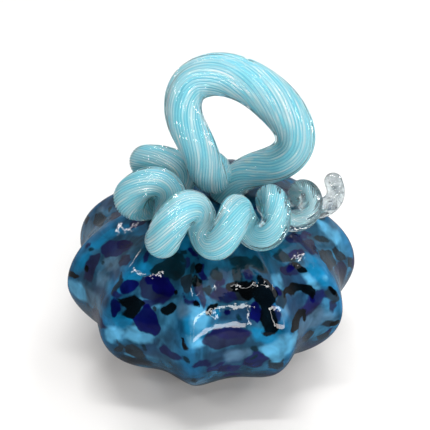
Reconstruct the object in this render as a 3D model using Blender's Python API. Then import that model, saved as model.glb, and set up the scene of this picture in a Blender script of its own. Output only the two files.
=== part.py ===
# A small hand-blown glass pumpkin: a ten-ribbed glass body standing on a small ground flat, and one
# drawn glass cane that rises from the crown, loops over, and then winds round itself as a vine.
# Units are metres, +Z is up, the origin is the middle of the flat that the body stands on, and
# the side where the vine curls faces -Y.

import bpy
import bmesh
import math
from mathutils import Vector

MM = 0.001

# Body, measured along a rib
BODY_RADIUS = 40.0
BODY_HEIGHT = 50.0
WIDEST_HEIGHT = 24.0
FOOT_RADIUS = 12.0
SEAT_RADIUS = 9.5
LOWER_CURVE = 1.66
UPPER_CURVE = 1.98
CROWN_DIP = 6.5
CROWN_DIP_RADIUS = 21.0
LOWER_RINGS = 13
UPPER_RINGS = 15

# Ribs left by the mould: angles from the front, positive to the right, a little uneven
RIB_ANGLES = (-110.0, -79.0, -44.0, -8.0, 29.0, 58.0, 93.0, 130.0, 167.0, 207.0)
PANEL_DEPTH = 0.093
CREST_SOFTNESS = 0.25
RIB_FULL_RADIUS = 24.0
FACETS_PER_RIB = 10

# Cane: where it stands on the crown, and its way over the big loop as x, y, z and cane radius
SEAT_GAP = 0.3
FOOT_SPOT = (2.6, 1.7)
FOOT_SINK = 3.0
FOOT_REACH = 9.0
LOOP_GUIDES = (
    (5.0, 2.7, 49.3, 4.3),
    (7.3, 3.1, 51.9, 4.5),
    (10.5, 2.9, 54.2, 4.7),
    (15.0, 1.0, 57.0, 4.8),
    (19.0, -1.0, 60.5, 5.0),
    (21.5, -1.5, 65.5, 5.1),
    (20.5, -1.0, 70.5, 5.4),
    (17.5, -0.5, 75.0, 5.7),
    (13.5, 0.0, 79.0, 5.7),
    (8.0, 0.5, 82.5, 5.5),
    (1.0, 0.0, 84.5, 5.4),
    (-5.0, -2.0, 83.0, 5.1),
    (-7.0, -5.5, 80.0, 4.7),
    (-6.5, -9.0, 76.5, 4.6),
    (-4.5, -11.0, 73.0, 4.6),
    (-2.5, -11.0, 68.0, 4.5),
    (-1.5, -10.0, 63.0, 4.5),
    (1.0, -6.5, 57.0, 4.5),
    (0.0, 1.0, 57.0, 4.4),
)

# Vine: turn number, angle round the stem, distance out, height, coil radius and cane radius
VINE_STATIONS = (
    (0.0, 130.0, 2.5, 58.5, 7.3, 4.3),
    (0.5, 200.0, 13.5, 54.5, 8.0, 4.6),
    (1.0, 207.0, 17.5, 57.5, 5.8, 4.5),
    (1.5, 224.5, 21.0, 57.0, 5.7, 4.4),
    (2.0, 242.0, 24.5, 57.0, 6.0, 4.4),
    (3.0, 269.0, 27.0, 57.0, 4.2, 4.1),
    (4.0, 296.0, 24.5, 55.5, 4.4, 3.7),
    (5.0, 324.0, 24.0, 54.5, 4.1, 3.3),
    (6.4, 363.0, 30.0, 48.5, 3.8, 2.4),
)
VINE_START = 0.125
VINE_STEPS_PER_TURN = 8
GUIDE_PIECES = 12
CANE_STEP = 1.45
EASING_PASSES = 3
TIGHTEST_BEND = 1.12
CANE_SIDES = 24
FLUTE_DEPTH = 0.04
LOOSE_TWIST_LENGTH = 95.0
TIGHT_TWIST_LENGTH = 22.0
TIP_RINGS = 4
TIP_ROUNDING = 0.4


def clear_scene():
    for obj in list(bpy.data.objects):
        bpy.data.objects.remove(obj, do_unlink=True)


def glass(name, colour, roughness):
    mat = bpy.data.materials.new(name)
    mat.use_nodes = True
    shader = mat.node_tree.nodes["Principled BSDF"]
    shader.inputs["Base Color"].default_value = colour
    shader.inputs["Roughness"].default_value = roughness
    shader.inputs["IOR"].default_value = 1.5
    mat.diffuse_color = colour
    return mat


def add_object(name, data):
    obj = bpy.data.objects.new(name, data)
    bpy.context.scene.collection.objects.link(obj)
    return obj


def finish_mesh(name, bm, mat):
    bmesh.ops.recalc_face_normals(bm, faces=bm.faces)
    mesh = bpy.data.meshes.new(name)
    bm.to_mesh(mesh)
    bm.free()
    for poly in mesh.polygons:
        poly.use_smooth = len(poly.vertices) <= 4
    mesh.materials.append(mat)
    return add_object(name, mesh)


def fill_ends(bm):
    rims = [edge for edge in bm.edges if edge.is_boundary]
    bmesh.ops.holes_fill(bm, edges=rims, sides=0)


def body_profile():
    """Radius and height along a rib, from the foot to the seat of the cane."""
    points = []
    for i in range(LOWER_RINGS + 1):
        turn = 0.5 * math.pi * (1.0 - i / LOWER_RINGS)
        across = math.cos(turn) ** (2.0 / LOWER_CURVE) if i > 0 else 0.0
        down = math.sin(turn) ** (2.0 / LOWER_CURVE)
        radius = FOOT_RADIUS + (BODY_RADIUS - FOOT_RADIUS) * across
        points.append((radius, WIDEST_HEIGHT * (1.0 - down)))
    seat_turn = math.acos((SEAT_RADIUS / BODY_RADIUS) ** (0.5 * UPPER_CURVE))
    for i in range(1, UPPER_RINGS + 1):
        turn = seat_turn * i / UPPER_RINGS
        radius = BODY_RADIUS * math.cos(turn) ** (2.0 / UPPER_CURVE)
        up = math.sin(turn) ** (2.0 / UPPER_CURVE)
        dip = CROWN_DIP * max(0.0, 1.0 - radius / CROWN_DIP_RADIUS) ** 1.5
        points.append((radius, WIDEST_HEIGHT + (BODY_HEIGHT - WIDEST_HEIGHT) * up - dip))
    return points


def panel_sink(share):
    """How far a panel sinks between two crests: 0 on a crest, 1 half way across."""
    wave = math.sin(math.pi * share)
    full = math.sqrt(1.0 + CREST_SOFTNESS ** 2) - CREST_SOFTNESS
    return (math.sqrt(wave ** 2 + CREST_SOFTNESS ** 2) - CREST_SOFTNESS) / full


def press_ribs(bm):
    """Turn the round body into ten panels between uneven crests, fading at foot and seat."""
    ribs = len(RIB_ANGLES)
    for vert in bm.verts:
        radius = math.hypot(vert.co.x, vert.co.y)
        place = (math.atan2(vert.co.x, -vert.co.y) % (2.0 * math.pi)) * ribs / (2.0 * math.pi)
        rib = min(int(place), ribs - 1)
        share = place - rib
        start = RIB_ANGLES[rib]
        end = RIB_ANGLES[rib + 1] if rib + 1 < ribs else RIB_ANGLES[0] + 360.0
        angle = math.radians(start + (end - start) * share)
        fade = min(1.0, (radius / MM - SEAT_RADIUS) / (RIB_FULL_RADIUS - SEAT_RADIUS))
        if vert.co.z == 0.0:
            fade = 0.0
        pressed = radius * (1.0 - PANEL_DEPTH * fade * panel_sink(share))
        vert.co.x = pressed * math.sin(angle)
        vert.co.y = -pressed * math.cos(angle)


def make_body(mat):
    bm = bmesh.new()
    column = [bm.verts.new((0.0, -radius * MM, height * MM)) for radius, height in body_profile()]
    line = [bm.edges.new(pair) for pair in zip(column, column[1:])]
    bmesh.ops.spin(bm, geom=column + line, cent=(0.0, 0.0, 0.0), axis=(0.0, 0.0, 1.0),
                   angle=2.0 * math.pi, steps=len(RIB_ANGLES) * FACETS_PER_RIB)
    bmesh.ops.remove_doubles(bm, verts=bm.verts, dist=0.001 * MM)
    fill_ends(bm)
    press_ribs(bm)
    return finish_mesh("glass_body", bm, mat)


def station(turn):
    """The vine's settings at a turn number, eased between the stations."""
    last = len(VINE_STATIONS) - 2
    k = min(last, max(i for i in range(last + 1) if VINE_STATIONS[i][0] <= turn))
    low, high = VINE_STATIONS[k], VINE_STATIONS[k + 1]
    before = VINE_STATIONS[max(0, k - 1)]
    after = VINE_STATIONS[min(last + 1, k + 2)]
    span = high[0] - low[0]
    t = (turn - low[0]) / span
    values = []
    for c in range(1, len(low)):
        slope_low = (high[c] - before[c]) / (high[0] - before[0]) * span
        slope_high = (after[c] - low[c]) / (after[0] - low[0]) * span
        rise = (2.0 * t ** 3 - 3.0 * t ** 2 + 1.0) * low[c] + (3.0 * t ** 2 - 2.0 * t ** 3) * high[c]
        lean = (t ** 3 - 2.0 * t ** 2 + t) * slope_low + (t ** 3 - t ** 2) * slope_high
        values.append(rise + lean)
    return values


def vine_point(turn):
    """A point on the left-handed coil whose axis bends round the stem."""
    angle, out, height, coil, cane = station(turn)
    around = 2.0 * math.pi * turn
    reach = out + coil * math.sin(around)
    heading = math.radians(angle)
    z = height - coil * math.cos(around)
    return (reach * math.cos(heading), reach * math.sin(heading), z, cane)


def guide_points():
    guides = [list(g) for g in LOOP_GUIDES]
    foot_height = body_profile()[-1][1] - FOOT_SINK
    guides.insert(0, [FOOT_SPOT[0], FOOT_SPOT[1], foot_height, LOOP_GUIDES[0][3]])
    turns = VINE_STATIONS[-1][0] - VINE_START
    steps = round(turns * VINE_STEPS_PER_TURN)
    for i in range(steps + 1):
        guides.append(list(vine_point(VINE_START + turns * i / steps)))
    return guides


def through(guides, pieces):
    """A smooth line through the guides, cut into the given number of pieces between each two."""
    line = []
    for i in range(len(guides) - 1):
        p0 = guides[max(0, i - 1)]
        p1 = guides[i]
        p2 = guides[i + 1]
        p3 = guides[min(len(guides) - 1, i + 2)]
        for k in range(pieces):
            t = k / pieces
            row = []
            for a, b, c, d in zip(p0, p1, p2, p3):
                curve = (2.0 * a - 5.0 * b + 4.0 * c - d) * t ** 2 + (3.0 * b - a - 3.0 * c + d) * t ** 3
                row.append(0.5 * (2.0 * b + (c - a) * t + curve))
            line.append(row)
    line.append(list(guides[-1]))
    return line


def even_steps(line, step):
    """The same line in points of equal distance."""
    run = [0.0]
    for a, b in zip(line, line[1:]):
        run.append(run[-1] + math.dist(a[:3], b[:3]))
    count = round(run[-1] / step)
    points = []
    k = 0
    for i in range(count + 1):
        want = run[-1] * i / count
        while k < len(run) - 2 and run[k + 1] < want:
            k += 1
        t = (want - run[k]) / (run[k + 1] - run[k])
        points.append([a + (b - a) * t for a, b in zip(line[k], line[k + 1])])
    return points


def eased(points):
    """Round off the sharpest bends, as hot glass does."""
    for _ in range(EASING_PASSES):
        soft = [points[0], points[1]]
        for a, b, c in zip(points[1:], points[2:], points[3:]):
            soft.append([0.25 * x + 0.5 * y + 0.25 * z for x, y, z in zip(a, b, c)])
        soft.append(points[-1])
        points = soft
    return points


def thinned(points):
    """Thin the cane where it bends hardest, so that no bend folds into itself."""
    limits = [p[3] for p in points]
    for i in range(1, len(points) - 1):
        a, b, c = (Vector(p[:3]) for p in points[i - 1:i + 2])
        bend = (b - a).angle(c - b)
        if bend > 0.0:
            bend_radius = 0.5 * (c - a).length / bend
            limits[i] = min(limits[i], bend_radius / TIGHTEST_BEND)
    for _ in range(EASING_PASSES):
        spread = [min(limits[max(0, i - 1):i + 2]) for i in range(len(limits))]
        limits = [0.5 * (s + l) for s, l in zip(spread, limits)]
    for point, limit in zip(points, limits):
        point[3] = min(point[3], limit)
    return points


def cane_line():
    fine = through(guide_points(), GUIDE_PIECES)
    return thinned(eased(even_steps(fine, CANE_STEP)))


def tip_points(points):
    """The cane's line with a round end added."""
    ahead = (Vector(points[-1][:3]) - Vector(points[-2][:3])).normalized()
    radius = points[-1][3]
    rounded = list(points)
    for k in range(1, TIP_RINGS + 1):
        turn = 0.5 * math.pi * k / (TIP_RINGS + TIP_ROUNDING)
        spot = Vector(points[-1][:3]) + ahead * radius * math.sin(turn)
        rounded.append([spot.x, spot.y, spot.z, radius * math.cos(turn)])
    return rounded


def section_curve():
    """The cane's cross-section, one unit in radius, with shallow grooves from the ribbed mould."""
    data = bpy.data.curves.new("cane_section", "CURVE")
    data.dimensions = "2D"
    spline = data.splines.new("POLY")
    spline.points.add(CANE_SIDES - 1)
    for i, point in enumerate(spline.points):
        angle = 2.0 * math.pi * i / CANE_SIDES
        r = 1.0 - FLUTE_DEPTH * (i % 2)
        point.co = (r * math.cos(angle) * MM, r * math.sin(angle) * MM, 0.0, 1.0)
    spline.use_cyclic_u = True
    return add_object("cane_section", data)


def cane_curve(points, section):
    """The section swept along the line: each point has its own radius, and the tilt is the twist."""
    data = bpy.data.curves.new("cane_path", "CURVE")
    data.dimensions = "3D"
    data.bevel_mode = "OBJECT"
    data.bevel_object = section
    data.use_fill_caps = True
    spline = data.splines.new("POLY")
    spline.points.add(len(points) - 1)
    twist = 0.0
    for i, (point, place) in enumerate(zip(spline.points, points)):
        x, y, z, radius = place
        share = i / (len(points) - 1)
        length = LOOSE_TWIST_LENGTH + (TIGHT_TWIST_LENGTH - LOOSE_TWIST_LENGTH) * share
        twist += 2.0 * math.pi * CANE_STEP / length
        point.co = (x * MM, y * MM, z * MM, 1.0)
        point.radius = radius
        point.tilt = twist
    return add_object("cane_path", data)


def cut_foot(bm, height):
    """Cut the cane's foot level, a joint's width above the seat that it stands on."""
    spot = Vector((FOOT_SPOT[0] * MM, FOOT_SPOT[1] * MM, height))
    verts = {vert for vert in bm.verts if (vert.co - spot).length < FOOT_REACH * MM}
    edges = [edge for edge in bm.edges if verts.issuperset(edge.verts)]
    faces = [face for face in bm.faces if verts.issuperset(face.verts)]
    bmesh.ops.bisect_plane(bm, geom=list(verts) + edges + faces, plane_co=spot,
                           plane_no=(0.0, 0.0, 1.0), clear_inner=True)
    fill_ends(bm)


def make_cane(mat):
    section = section_curve()
    path = cane_curve(tip_points(cane_line()), section)
    swept = path.evaluated_get(bpy.context.evaluated_depsgraph_get())
    mesh = bpy.data.meshes.new_from_object(swept)
    bm = bmesh.new()
    bm.from_mesh(mesh)
    for obj in (path, section):
        bpy.data.objects.remove(obj, do_unlink=True)
    bmesh.ops.remove_doubles(bm, verts=bm.verts, dist=0.001 * MM)
    cut_foot(bm, (body_profile()[-1][1] + SEAT_GAP) * MM)
    return finish_mesh("glass_cane_stem", bm, mat)


clear_scene()
make_body(glass("Fritted blue glass", (0.02, 0.11, 0.32, 1.0), 0.04))
make_cane(glass("Pale turquoise glass", (0.28, 0.68, 0.78, 1.0), 0.06))
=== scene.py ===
import bpy
import math
import numpy as np
import random
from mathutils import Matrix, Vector, noise


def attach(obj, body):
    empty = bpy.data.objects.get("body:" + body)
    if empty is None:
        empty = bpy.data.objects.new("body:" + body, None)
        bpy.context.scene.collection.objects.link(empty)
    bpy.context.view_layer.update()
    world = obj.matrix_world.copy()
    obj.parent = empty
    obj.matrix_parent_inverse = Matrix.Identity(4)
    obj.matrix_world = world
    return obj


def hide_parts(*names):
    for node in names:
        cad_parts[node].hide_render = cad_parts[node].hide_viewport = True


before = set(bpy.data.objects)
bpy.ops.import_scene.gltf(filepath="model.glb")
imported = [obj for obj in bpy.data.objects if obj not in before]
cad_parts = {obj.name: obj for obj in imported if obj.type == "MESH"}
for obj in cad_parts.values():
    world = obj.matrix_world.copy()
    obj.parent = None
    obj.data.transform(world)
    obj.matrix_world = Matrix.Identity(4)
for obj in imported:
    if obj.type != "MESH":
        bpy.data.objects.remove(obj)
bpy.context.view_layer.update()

# The pumpkin's body is a bubble of soda-lime glass, rolled hot in chips of coloured glass, cased in
# clear, and blown into a ten-ribbed mould. It cools with glossy, slightly wavy walls, and stands on
# the spot where its pontil mark was ground away.
MM = 0.001

# The wall, in millimetres: one curve from the foot up to the widest ring and one from there to the
# cane's seat, where the crown dips
BODY_RADIUS = 40.0
BODY_HEIGHT = 50.0
WIDEST_HEIGHT = 24.0
FOOT_RADIUS = 12.0
SEAT_RADIUS = 9.5
LOWER_CURVE = 1.66
UPPER_CURVE = 1.98
CROWN_DIP = 6.5
CROWN_DIP_RADIUS = 21.0
CROWN_DIP_CURVE = 1.5
LOWER_RINGS = 54
UPPER_RINGS = 66

# The ribs, by the angles of their crests from the front, and the panels pressed in between them
RIB_ANGLES = (-110.0, -79.0, -44.0, -8.0, 29.0, 58.0, 93.0, 130.0, 167.0, 207.0)
PANEL_DEPTH = 0.093
CREST_SOFTNESS = 0.25
RIB_FULL_RADIUS = 24.0
FACETS_PER_RIB = 40

# The belt, the circle on which distances round the wall are measured, and the waves in the wall
BELT_RADIUS = 38.0
BELT = 2.0 * math.pi * BELT_RADIUS
WAVE_LENGTH = 9.0
WAVE_DEPTH = 0.11
WAVE_INWARDS = 0.4


def body_profile():
    """Radius and height of each ring of the wall, from the foot's rim up to the cane's seat."""
    points = []
    for i in range(LOWER_RINGS + 1):
        turn = 0.5 * math.pi * (1.0 - i / LOWER_RINGS)
        across = math.cos(turn) ** (2.0 / LOWER_CURVE) if i > 0 else 0.0
        down = math.sin(turn) ** (2.0 / LOWER_CURVE)
        radius = FOOT_RADIUS + (BODY_RADIUS - FOOT_RADIUS) * across
        points.append((radius, WIDEST_HEIGHT * (1.0 - down)))
    seat_turn = math.acos((SEAT_RADIUS / BODY_RADIUS) ** (0.5 * UPPER_CURVE))
    for i in range(1, UPPER_RINGS + 1):
        turn = seat_turn * i / UPPER_RINGS
        radius = BODY_RADIUS * math.cos(turn) ** (2.0 / UPPER_CURVE)
        up = math.sin(turn) ** (2.0 / UPPER_CURVE)
        dip = CROWN_DIP * max(0.0, 1.0 - radius / CROWN_DIP_RADIUS) ** CROWN_DIP_CURVE
        points.append((radius, WIDEST_HEIGHT + (BODY_HEIGHT - WIDEST_HEIGHT) * up - dip))
    return points


def panel_sink(share):
    """How far a panel is pressed in at a share of its width: nothing at the crests, 1 in the middle."""
    wave = math.sin(math.pi * share)
    full = math.sqrt(1.0 + CREST_SOFTNESS ** 2) - CREST_SOFTNESS
    return (math.sqrt(wave ** 2 + CREST_SOFTNESS ** 2) - CREST_SOFTNESS) / full


def rib_place(angle):
    """From an angle on the evenly cut ring to the real angle, and the share of the panel there."""
    ribs = len(RIB_ANGLES)
    place = (angle % (2.0 * math.pi)) * ribs / (2.0 * math.pi)
    rib = min(int(place), ribs - 1)
    share = place - rib
    start = RIB_ANGLES[rib]
    end = RIB_ANGLES[rib + 1] if rib + 1 < ribs else RIB_ANGLES[0] + 360.0
    return math.radians(start + (end - start) * share), share


def deselect_all():
    bpy.ops.object.select_all(action="DESELECT")


# The wall is drawn up ring by ring from a disc the size of the foot. The arc keeps how far up the wall
# each ring lies.
deselect_all()
profile = body_profile()
arc = [0.0]
facets = len(RIB_ANGLES) * FACETS_PER_RIB
bpy.ops.mesh.primitive_circle_add(vertices=facets, radius=FOOT_RADIUS * MM, fill_type="NGON")
body = bpy.context.object
body.name = "blown_body"
body.data.name = "blown_body"
bpy.ops.object.mode_set(mode="EDIT")
bpy.ops.mesh.select_all(action="SELECT")
for (radius, height), (next_radius, next_height) in zip(profile, profile[1:]):
    rise = (next_height - height) * MM
    spread = next_radius / radius
    bpy.ops.mesh.extrude_region_move(TRANSFORM_OT_translate={"value": (0.0, 0.0, rise)})
    bpy.ops.transform.resize(value=(spread, spread, 1.0), center_override=(0.0, 0.0, 0.0))
    arc.append(arc[-1] + math.hypot(next_radius - radius, next_height - height))
bpy.ops.mesh.select_all(action="SELECT")
bpy.ops.mesh.normals_make_consistent(inside=False)
bpy.ops.object.mode_set(mode="OBJECT")

# Its points are moved to the real ribs, pressed in between them and made slightly wavy. Each one's
# place on the unrolled wall, in millimetres round the belt and up the wall, is kept for the frit.
unrolled = np.zeros((len(body.data.vertices), 2))
crest = np.zeros(len(body.data.vertices))
for vert in body.data.vertices:
    radius = math.hypot(vert.co.x, vert.co.y)
    ring = vert.index // facets
    angle, share = rib_place(math.atan2(vert.co.x, -vert.co.y))
    full = min(1.0, (radius / MM - SEAT_RADIUS) / (RIB_FULL_RADIUS - SEAT_RADIUS)) if ring > 0 else 0.0
    sink = panel_sink(share)
    around = (angle / (2.0 * math.pi) + 0.5) % 1.0 - 0.5
    unrolled[vert.index] = (around * BELT, arc[ring])
    crest[vert.index] = full * (1.0 - sink)
    pressed = radius * (1.0 - PANEL_DEPTH * full * sink)
    spot = Vector((pressed * math.sin(angle), -pressed * math.cos(angle), vert.co.z))
    push = WAVE_DEPTH * MM * full * (noise.noise(spot / (WAVE_LENGTH * MM)) - WAVE_INWARDS)
    vert.co = spot + Vector((spot.x, spot.y, 0.0)).normalized() * push
bpy.ops.object.shade_smooth_by_angle(angle=math.radians(60.0))

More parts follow.
